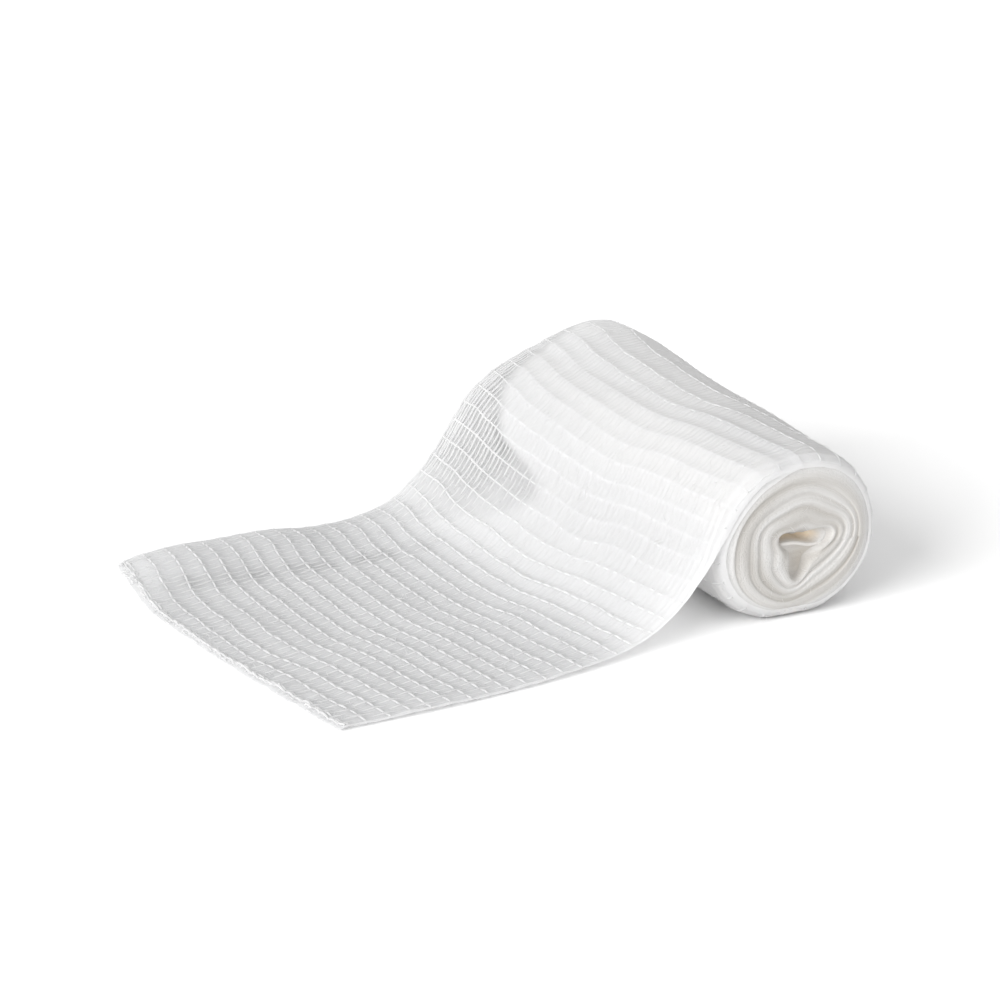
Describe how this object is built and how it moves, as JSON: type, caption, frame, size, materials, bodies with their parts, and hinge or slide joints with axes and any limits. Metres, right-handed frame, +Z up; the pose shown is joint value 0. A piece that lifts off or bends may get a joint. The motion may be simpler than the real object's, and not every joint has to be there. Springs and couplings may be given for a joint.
{
  "type": "gauze bandage roll",
  "caption": "Coreless roll of open-weave conforming gauze bandage lying on its side, its loose end drawn over the top of the roll and laid out flat in front.",
  "frame": {"origin": "the middle of the roll's small flat spot, on the surface that the roll rests on", "axes": "+X along the roll's axis, towards the end with the open hollow; -Y the way the loose end runs; +Z up"},
  "size_m": [0.0888, 0.1086, 0.0299],
  "materials": {
    "gauze": "matt open-weave gauze, undyed white"
  },
  "bodies": {
    "root": {"wound_roll": "gauze", "loose_end": "gauze"}
  },
  "joints": []
}
